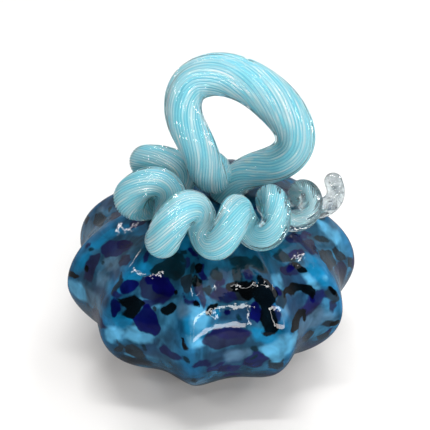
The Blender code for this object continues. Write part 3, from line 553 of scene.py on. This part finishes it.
# The loop's guides: millimetres to the right, back and up, and the cane's radius there
LOOP_GUIDES = (
    (5.0, 2.7, 49.3, 4.3),
    (7.3, 3.1, 51.9, 4.5),
    (10.5, 2.9, 54.2, 4.7),
    (15.0, 1.0, 57.0, 4.8),
    (19.0, -1.0, 60.5, 5.0),
    (21.5, -1.5, 65.5, 5.1),
    (20.5, -1.0, 70.5, 5.4),
    (17.5, -0.5, 75.0, 5.7),
    (13.5, 0.0, 79.0, 5.7),
    (8.0, 0.5, 82.5, 5.5),
    (1.0, 0.0, 84.5, 5.4),
    (-5.0, -2.0, 83.0, 5.1),
    (-7.0, -5.5, 80.0, 4.7),
    (-6.5, -9.0, 76.5, 4.6),
    (-4.5, -11.0, 73.0, 4.6),
    (-2.5, -11.0, 68.0, 4.5),
    (-1.5, -10.0, 63.0, 4.5),
    (1.0, -6.5, 57.0, 4.5),
    (0.0, 1.0, 57.0, 4.4),
)

# The vine is a coil whose axis bends round the stem. Its stations: turns made, then the axis's compass
# angle, distance out and height, the coil's radius and the cane's
VINE_STATIONS = (
    (0.0, 130.0, 2.5, 58.5, 7.3, 4.3),
    (0.5, 200.0, 13.5, 54.5, 8.0, 4.6),
    (1.0, 207.0, 17.5, 57.5, 5.8, 4.5),
    (1.5, 224.5, 21.0, 57.0, 5.7, 4.4),
    (2.0, 242.0, 24.5, 57.0, 6.0, 4.4),
    (3.0, 269.0, 27.0, 57.0, 4.2, 4.1),
    (4.0, 296.0, 24.5, 55.5, 4.4, 3.7),
    (5.0, 324.0, 24.0, 54.5, 4.1, 3.3),
    (6.4, 363.0, 30.0, 48.5, 3.8, 2.4),
)
VINE_START = 0.125
VINE_STEPS_PER_TURN = 8

# How the route is cut and eased: pieces between guides, steps in millimetres, passes, the least radius
# of a bend as a multiple of the cane's, and pieces between steps
GUIDE_PIECES = 12
CANE_STEP = 1.45
EASING_PASSES = 3
TIGHTEST_BEND = 1.12
FINE_STEPS = 2

# The rounded tip: its rings, how far short of closing they stop, and the twist from one to the next
TIP_RINGS = 8
TIP_ROUNDING = 0.4
TIP_TWIST = 0.02

# Millimetres for one full twist at the foot and at the tip
LOOSE_TWIST_LENGTH = 95.0
TIGHT_TWIST_LENGTH = 22.0

# The ribs. Their depth is a share of the cane's radius and is uneven from rib to rib, and the painted
# shade lines in their valleys turn from blue to grey between two shares of the cane's length.
CANE_RIBS = 36
POINTS_PER_RIB = 4
RIB_DEPTH = 0.09
RIB_DEPTH_MEAN = 0.7
RIB_DEPTH_SPREAD = 0.6
RIB_PATCHES = 3.0
RIB_SLICE = 5.0
BLUE_TO, GREY_FROM = 0.84, 0.94


def vine_station(turn):
    """The coil's settings after so many turns, running smoothly from station to station."""
    last = len(VINE_STATIONS) - 2
    k = min(last, max(i for i in range(last + 1) if VINE_STATIONS[i][0] <= turn))
    low, high = VINE_STATIONS[k], VINE_STATIONS[k + 1]
    before = VINE_STATIONS[max(0, k - 1)]
    after = VINE_STATIONS[min(last + 1, k + 2)]
    span = high[0] - low[0]
    t = (turn - low[0]) / span
    values = []
    for c in range(1, len(low)):
        slope_low = (high[c] - before[c]) / (high[0] - before[0]) * span
        slope_high = (after[c] - low[c]) / (after[0] - low[0]) * span
        rise = (2.0 * t ** 3 - 3.0 * t ** 2 + 1.0) * low[c] + (3.0 * t ** 2 - 2.0 * t ** 3) * high[c]
        lean = (t ** 3 - 2.0 * t ** 2 + t) * slope_low + (t ** 3 - t ** 2) * slope_high
        values.append(rise + lean)
    return values


def vine_point(turn):
    """A guide on the vine after so many turns: its place and the cane's radius."""
    angle, out, height, coil, radius = vine_station(turn)
    around = 2.0 * math.pi * turn
    reach = out + coil * math.sin(around)
    heading = math.radians(angle)
    z = height - coil * math.cos(around)
    return [reach * math.cos(heading), reach * math.sin(heading), z, radius]


def through(guides, pieces):
    """A smooth line through the guides, cut into the given number of pieces between each two."""
    line = []
    for i in range(len(guides) - 1):
        p0 = guides[max(0, i - 1)]
        p1 = guides[i]
        p2 = guides[i + 1]
        p3 = guides[min(len(guides) - 1, i + 2)]
        for k in range(pieces):
            t = k / pieces
            row = []
            for a, b, c, d in zip(p0, p1, p2, p3):
                curve = (2.0 * a - 5.0 * b + 4.0 * c - d) * t ** 2 + (3.0 * b - a - 3.0 * c + d) * t ** 3
                row.append(0.5 * (2.0 * b + (c - a) * t + curve))
            line.append(row)
    line.append(list(guides[-1]))
    return line


def even_steps(line, step):
    """The line cut anew into even steps, each about as long as asked."""
    run = [0.0]
    for a, b in zip(line, line[1:]):
        run.append(run[-1] + math.dist(a[:3], b[:3]))
    count = round(run[-1] / step)
    points = []
    k = 0
    for i in range(count + 1):
        want = run[-1] * i / count
        while k < len(run) - 2 and run[k + 1] < want:
            k += 1
        t = (want - run[k]) / (run[k + 1] - run[k])
        points.append([a + (b - a) * t for a, b in zip(line[k], line[k + 1])])
    return points


def eased(points):
    """The points with small kinks smoothed away. Both ends stay where they are."""
    for _ in range(EASING_PASSES):
        soft = [points[0], points[1]]
        for a, b, c in zip(points[1:], points[2:], points[3:]):
            soft.append([0.25 * x + 0.5 * y + 0.25 * z for x, y, z in zip(a, b, c)])
        soft.append(points[-1])
        points = soft
    return points


def thinned(points):
    """The points with the cane made thinner where it bends too tightly for its width."""
    limits = [p[3] for p in points]
    for i in range(1, len(points) - 1):
        a, b, c = (Vector(p[:3]) for p in points[i - 1:i + 2])
        turn = (b - a).angle(c - b)
        if turn > 0.0:
            limits[i] = min(limits[i], 0.5 * (c - a).length / turn / TIGHTEST_BEND)
    for _ in range(EASING_PASSES):
        spread = [min(limits[max(0, i - 1):i + 2]) for i in range(len(limits))]
        limits = [0.5 * (s + l) for s, l in zip(spread, limits)]
    for point, limit in zip(points, limits):
        point[3] = min(point[3], limit)
    return points


# The route from the sunk foot over the loop and along the vine, as rows of x, y, z, radius and twist
guides = [[FOOT_SPOT[0], FOOT_SPOT[1], SEAT_HEIGHT - FOOT_SINK, LOOP_GUIDES[0][3]]]
guides += [list(guide) for guide in LOOP_GUIDES]
turns = VINE_STATIONS[-1][0] - VINE_START
bends = round(turns * VINE_STEPS_PER_TURN)
guides += [vine_point(VINE_START + turns * i / bends) for i in range(bends + 1)]
route = thinned(eased(even_steps(through(guides, GUIDE_PIECES), CANE_STEP)))
twists = [0.0]
for i in range(1, len(route)):
    share = i / (len(route) - 1)
    length = LOOSE_TWIST_LENGTH + (TIGHT_TWIST_LENGTH - LOOSE_TWIST_LENGTH) * share
    twists.append(twists[-1] + 2.0 * math.pi * CANE_STEP / length)
fine = through([row + [twist] for row, twist in zip(route, twists)], FINE_STEPS)

# The tip is rounded off in the flame
ahead = (Vector(fine[-1][:3]) - Vector(fine[-2][:3])).normalized()
tip_radius = fine[-1][3]
for k in range(1, TIP_RINGS + 1):
    turn = 0.5 * math.pi * k / (TIP_RINGS + TIP_ROUNDING)
    spot = Vector(route[-1][:3]) + ahead * tip_radius * math.sin(turn)
    fine.append([spot.x, spot.y, spot.z, tip_radius * math.cos(turn), fine[-1][4] + TIP_TWIST])
along = [0.0]
for a, b in zip(fine, fine[1:]):
    along.append(along[-1] + math.dist(a[:3], b[:3]))


def single_line(curve, points):
    """Empties the curve and puts in one straight-edged line of so many points."""
    curve.data.splines.clear()
    line = curve.data.splines.new("POLY")
    line.points.add(points - 1)
    return line


def draw_rod(name, rows, corners):
    """A closed rod along the rows, with the corners of its section given for a radius of one."""
    deselect_all()
    bpy.ops.curve.primitive_nurbs_circle_add(radius=MM)
    section = bpy.context.object
    edge = single_line(section, len(corners))
    for point, (x, y) in zip(edge.points, corners):
        point.co = (x * MM, y * MM, 0.0, 1.0)
    edge.use_cyclic_u = True
    section.data.dimensions = "2D"
    deselect_all()
    bpy.ops.curve.primitive_nurbs_path_add(radius=MM)
    rod = bpy.context.object
    rod.name = name
    axis = single_line(rod, len(rows))
    for point, (x, y, z, radius, twist) in zip(axis.points, rows):
        point.co = (x * MM, y * MM, z * MM, 1.0)
        point.radius = radius
        point.tilt = twist
    rod.data.dimensions = "3D"
    rod.data.bevel_mode = "OBJECT"
    rod.data.bevel_object = section
    rod.data.use_fill_caps = True
    bpy.ops.object.convert(target="MESH")
    rod = bpy.context.object
    rod.data.name = name
    bpy.data.objects.remove(section, do_unlink=True)
    return rod


def lay_straight(rod, rings, sides):
    """Each point is told its place on the rod as it was before it bent: its side, and how far along."""
    rod.data.attributes.new("straight_cane", "FLOAT_VECTOR", "POINT")
    straight = rod.data.attributes["straight_cane"].data
    for vert in rod.data.vertices:
        ring, side = divmod(vert.index, sides)
        if ring >= rings:
            ring = 0 if ring == rings else rings - 1
        angle = 2.0 * math.pi * side / sides
        straight[vert.index].vector = (math.cos(angle), math.sin(angle), along[ring])


def close_rod():
    """The caps of the rod just drawn are sewn to it, and its faces turned outwards."""
    bpy.ops.object.mode_set(mode="EDIT")
    bpy.ops.mesh.select_all(action="SELECT")
    bpy.ops.mesh.remove_doubles(threshold=0.001 * MM)
    bpy.ops.mesh.normals_make_consistent(inside=False)
    bpy.ops.object.mode_set(mode="OBJECT")
    bpy.ops.object.shade_smooth_by_angle(angle=math.radians(80.0))


sides = CANE_RIBS * POINTS_PER_RIB
corners, valleys = [], []
for i in range(sides):
    angle = 2.0 * math.pi * i / sides
    patch = noise.noise(Vector((RIB_PATCHES * math.cos(angle), RIB_PATCHES * math.sin(angle), RIB_SLICE)))
    uneven = RIB_DEPTH_MEAN + RIB_DEPTH_SPREAD * patch
    valleys.append(0.5 - 0.5 * math.cos(CANE_RIBS * angle))
    reach = 1.0 - RIB_DEPTH * uneven * valleys[-1]
    corners.append((reach * math.cos(angle), reach * math.sin(angle)))
cane = draw_rod("drawn_cane", fine, corners)
lay_straight(cane, len(fine), sides)
cane.data.attributes.new("valley", "FLOAT", "POINT")
for vert, mark in zip(cane.data.vertices, cane.data.attributes["valley"].data):
    mark.value = valleys[vert.index % sides]
close_rod()

# Clear soda-lime glass, gathered in a ribbed mould, drawn and twisted by hand. To the eye it is a bright
# coat with a glint on every rib, and a thin line of painted shade in every valley, blue, and grey towards
# the tip, where no colour is left beneath. Its faint tint runs in streaks 2 mm wide and 20 mm long.
drawn, tree, shader = new_material("drawn_clear_glass")
unbent = add_node(tree, "Attribute", {"attribute_name": "straight_cane"}, {})
stretched = add_node(tree, "Mapping", {}, {"Vector": unbent.outputs["Vector"], "Scale": (2.0, 2.0, 0.05)})
streaks = add_node(tree, "TexNoise", {}, {"Vector": stretched.outputs[0], "Scale": 1.0, "Detail": 1.0})
clear = add_node(tree, "Mix", {"data_type": "RGBA"},
                 {0: streaks.outputs[0], 6: linear("#E6F8FB"), 7: linear("#FFFFFF")})
# Painted shade: the valleys are tinted darker, blue along the cane and grey towards the tip
valley = add_node(tree, "Attribute", {"attribute_name": "valley"}, {})
valley_shade_mask = add_node(tree, "MapRange", {"interpolation_type": "SMOOTHSTEP"},
                  {0: valley.outputs["Fac"], 1: 0.35, 2: 1.0})
down = add_node(tree, "SeparateXYZ", {}, {0: unbent.outputs["Vector"]})
tip = add_node(tree, "MapRange", {"interpolation_type": "SMOOTHSTEP"},
               {0: down.outputs[2], 1: BLUE_TO * along[-1], 2: GREY_FROM * along[-1]})
line = add_node(tree, "Mix", {"data_type": "RGBA"},
                {0: tip.outputs[0], 6: linear("#86C8DC"), 7: linear("#5C6E76")})
valley_shaded = add_node(tree, "Mix", {"data_type": "RGBA"},
                 {0: valley_shade_mask.outputs[0], 6: clear.outputs[2], 7: line.outputs[2]})
tree.links.new(valley_shaded.outputs[2], shader.inputs["Base Color"])
shader.inputs["Transmission Weight"].default_value = 1.0
shader.inputs["Roughness"].default_value = 0.03
shader.inputs["IOR"].default_value = 1.5
cane.data.materials.append(drawn)
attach(cane, "root")
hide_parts("glass_cane_stem")

# The cane's heart is opal turquoise glass, the gather that was cased in clear before it was drawn. It
# narrows faster than the casing and dies out before the clear tip. It starts so many millimetres up
# the cane, and its other sizes are shares of the cane's radius and length.
HEART_SIDES = 36
HEART_SHARE = 0.84
HEART_START = 1.5
HEART_FULL_TO = 0.74
HEART_END = 0.97
HEART_TAPER = 0.6
HEART_LEAST = 0.02
cased = [row for row, length in zip(fine, along) if HEART_START < length < HEART_END * along[-1]]
heart_rows = []
for i, (x, y, z, radius, twist) in enumerate(cased):
    way = i / (len(cased) - 1) * HEART_END
    left = min(1.0, max(0.0, (HEART_END - way) / (HEART_END - HEART_FULL_TO)))
    heart_rows.append((x, y, z, max(HEART_LEAST, radius * HEART_SHARE * left ** HEART_TAPER), twist))
angles = [2.0 * math.pi * i / HEART_SIDES for i in range(HEART_SIDES)]
heart = draw_rod("opal_heart", heart_rows, [(math.cos(angle), math.sin(angle)) for angle in angles])
lay_straight(heart, len(heart_rows), HEART_SIDES)
close_rod()

# Opal glass, melted with a milky one and drawn out with it. To the eye it is a soft turquoise with
# white bands 2 mm wide and 33 mm long and fine threads 6 mm long. The real threads are as thin as hair,
# and these are drawn 0.2 mm wide so that they show. The milk scatters light, so shadows on it glow.
opal, tree, shader = new_material("opal_turquoise_glass")
unbent = add_node(tree, "Attribute", {"attribute_name": "straight_cane"}, {})
broad = add_node(tree, "Mapping", {}, {"Vector": unbent.outputs["Vector"], "Scale": (2.2, 2.2, 0.03)})
bands = add_node(tree, "TexNoise", {}, {"Vector": broad.outputs[0], "Scale": 1.0, "Detail": 1.0})
narrow = add_node(tree, "Mapping", {}, {"Vector": unbent.outputs["Vector"], "Scale": (20.0, 20.0, 0.16)})
threads = add_node(tree, "TexNoise", {}, {"Vector": narrow.outputs[0], "Scale": 1.0, "Detail": 1.0})
both = add_node(tree, "Mix", {"data_type": "FLOAT"}, {0: 0.58, 2: bands.outputs[0], 3: threads.outputs[0]})
milk = add_node(tree, "MapRange", {"interpolation_type": "SMOOTHSTEP"},
                {0: both.outputs[0], 1: 0.43, 2: 0.63})
milky = add_node(tree, "Mix", {"data_type": "RGBA"},
                 {0: milk.outputs[0], 6: linear("#9FEAF6"), 7: linear("#F8FFFF")})
tree.links.new(milky.outputs[2], shader.inputs["Base Color"])
shader.inputs["Roughness"].default_value = 0.4
shader.inputs["Specular IOR Level"].default_value = 0.0
shader.inputs["Subsurface Weight"].default_value = 0.15
shader.inputs["Subsurface Radius"].default_value = (0.6, 1.0, 1.1)
shader.inputs["Subsurface Scale"].default_value = 2.5 * MM
heart.data.materials.append(opal)
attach(heart, "root")

# The table is a plain pale board with a rolled coat of matt paint, and fills the frame. In the glass it
# is seen darker than it is, because the real room beyond it is dim.
deselect_all()
bpy.ops.mesh.primitive_plane_add(size=6.0)
table = bpy.context.object
table.name = "pale_table"
painted, tree, shader = new_material("pale_matt_board")
ray = add_node(tree, "LightPath", {}, {})
mirrored = add_node(tree, "Math", {"operation": "SUBTRACT", "use_clamp": True},
                    {0: ray.outputs["Is Glossy Ray"], 1: ray.outputs["Is Transmission Ray"]})
board = add_node(tree, "Mix", {"data_type": "RGBA"},
                 {0: mirrored.outputs[0], 6: linear("#E0DFDE"), 7: linear("#74787C")})
tree.links.new(board.outputs[2], shader.inputs["Base Color"])
shader.inputs["Roughness"].default_value = 0.7
table.data.materials.append(painted)

# The light is a plain soft studio. A broad box hangs overhead, slim bright ones stand as a window's
# frame in front on the right, and rails stand all round, since the glass mirrors such shapes. Each
# row: name, degrees round from the front, degrees up, metres away, size, times white, colour.
AIM_HEIGHT = 0.03
SOFT_BOXES = (
    ("overhead", 70.0, 62.0, 0.55, (0.50, 0.46), 1.7, "#FFFFFF"),
    ("window_head", 23.0, 31.5, 1.0, (0.60, 0.055), 25.0, "#FFFDF8"),
    ("window_sill", 24.0, 9.0, 1.0, (0.62, 0.12), 20.0, "#FFF6F4"),
    ("window_right", 5.0, 20.0, 1.0, (0.014, 0.40), 27.0, "#FFFFFF"),
    ("window_far", -14.0, 22.0, 1.0, (0.012, 0.44), 27.0, "#FFFFFF"),
    ("window_left", 43.0, 20.0, 1.0, (0.02, 0.40), 27.0, "#FFFFFF"),
    ("rail_front", 14.0, 55.0, 1.0, (0.30, 0.02), 37.0, "#FFFFFF"),
    ("rail_left", -48.0, 54.0, 1.0, (0.30, 0.02), 43.0, "#FFFFFF"),
    ("rail_far_left", -108.0, 42.0, 1.0, (0.30, 0.02), 43.0, "#FFFFFF"),
    ("rail_right", 62.0, 48.0, 1.0, (0.30, 0.02), 43.0, "#FFFFFF"),
    ("rail_top", 0.0, 86.0, 1.0, (0.45, 0.06), 40.0, "#FFFFFF"),
    ("rail_back_left", -150.0, 58.0, 1.0, (0.40, 0.03), 60.0, "#FFFFFF"),
    ("rail_back_right", 140.0, 50.0, 1.0, (0.40, 0.03), 60.0, "#FFFFFF"),
)
for name, degrees_round, degrees_up, distance, (width, height), times_white, colour in SOFT_BOXES:
    box = bpy.data.lights.new(name, "AREA")
    box.shape = "RECTANGLE"
    box.size, box.size_y = width, height
    box.energy = times_white * math.pi * width * height
    box.color = linear(colour)[:3]
    turn, rise = math.radians(degrees_round), math.radians(degrees_up)
    place = (distance * math.sin(turn) * math.cos(rise), -distance * math.cos(turn) * math.cos(rise),
             AIM_HEIGHT + distance * math.sin(rise))
    lamp = bpy.data.objects.new(name, box)
    bpy.context.scene.collection.objects.link(lamp)
    lamp.location = place
    sight = Vector((0.0, 0.0, AIM_HEIGHT)) - Vector(place)
    lamp.rotation_euler = sight.to_track_quat("-Z", "Y").to_euler()

# The room is dark in front of the table, where the glass mirrors it, and lighter behind
room = bpy.data.worlds.new("studio")
bpy.context.scene.world = room
room.use_nodes = True
around_room = add_node(room.node_tree, "TexCoord", {}, {})
to_the_back = add_node(room.node_tree, "SeparateXYZ", {}, {0: around_room.outputs["Generated"]})
backdrop = add_node(room.node_tree, "MapRange", {"interpolation_type": "SMOOTHSTEP"},
                    {0: to_the_back.outputs[1], 1: -0.2, 2: 0.5, 3: 0.03, 4: 0.55})
room.node_tree.nodes["Background"].inputs["Color"].default_value = linear("#FFFFFF")
room.node_tree.links.new(backdrop.outputs[0], room.node_tree.nodes["Background"].inputs["Strength"])

# The camera stands where the photo's did, in front and above, 0.30 m from the body, and is turned a
# little up and right from its line of sight, so that the frame is the photo's. Its place is in metres,
# its focal length in pixels of the frame, its sensor in millimetres, and its angles in degrees.
CAMERA_PLACE = (0.0, -0.2364, 0.2087)
FOCAL_PIXELS = 1078.0
FRAME_PIXELS = 430.0
SIGHT_DOWN = 38.0
AIM_UP = 2.81
AIM_RIGHT = 0.22
SENSOR = 36.0
lens = bpy.data.cameras.new("photo_camera")
lens.sensor_width = SENSOR
lens.lens = FOCAL_PIXELS / FRAME_PIXELS * SENSOR
camera = bpy.data.objects.new("photo_camera", lens)
bpy.context.scene.collection.objects.link(camera)
camera.location = CAMERA_PLACE
camera.rotation_euler = (math.radians(90.0 - SIGHT_DOWN + AIM_UP), 0.0, math.radians(-AIM_RIGHT))
bpy.context.scene.camera = camera
bpy.context.scene.view_settings.view_transform = "Standard"
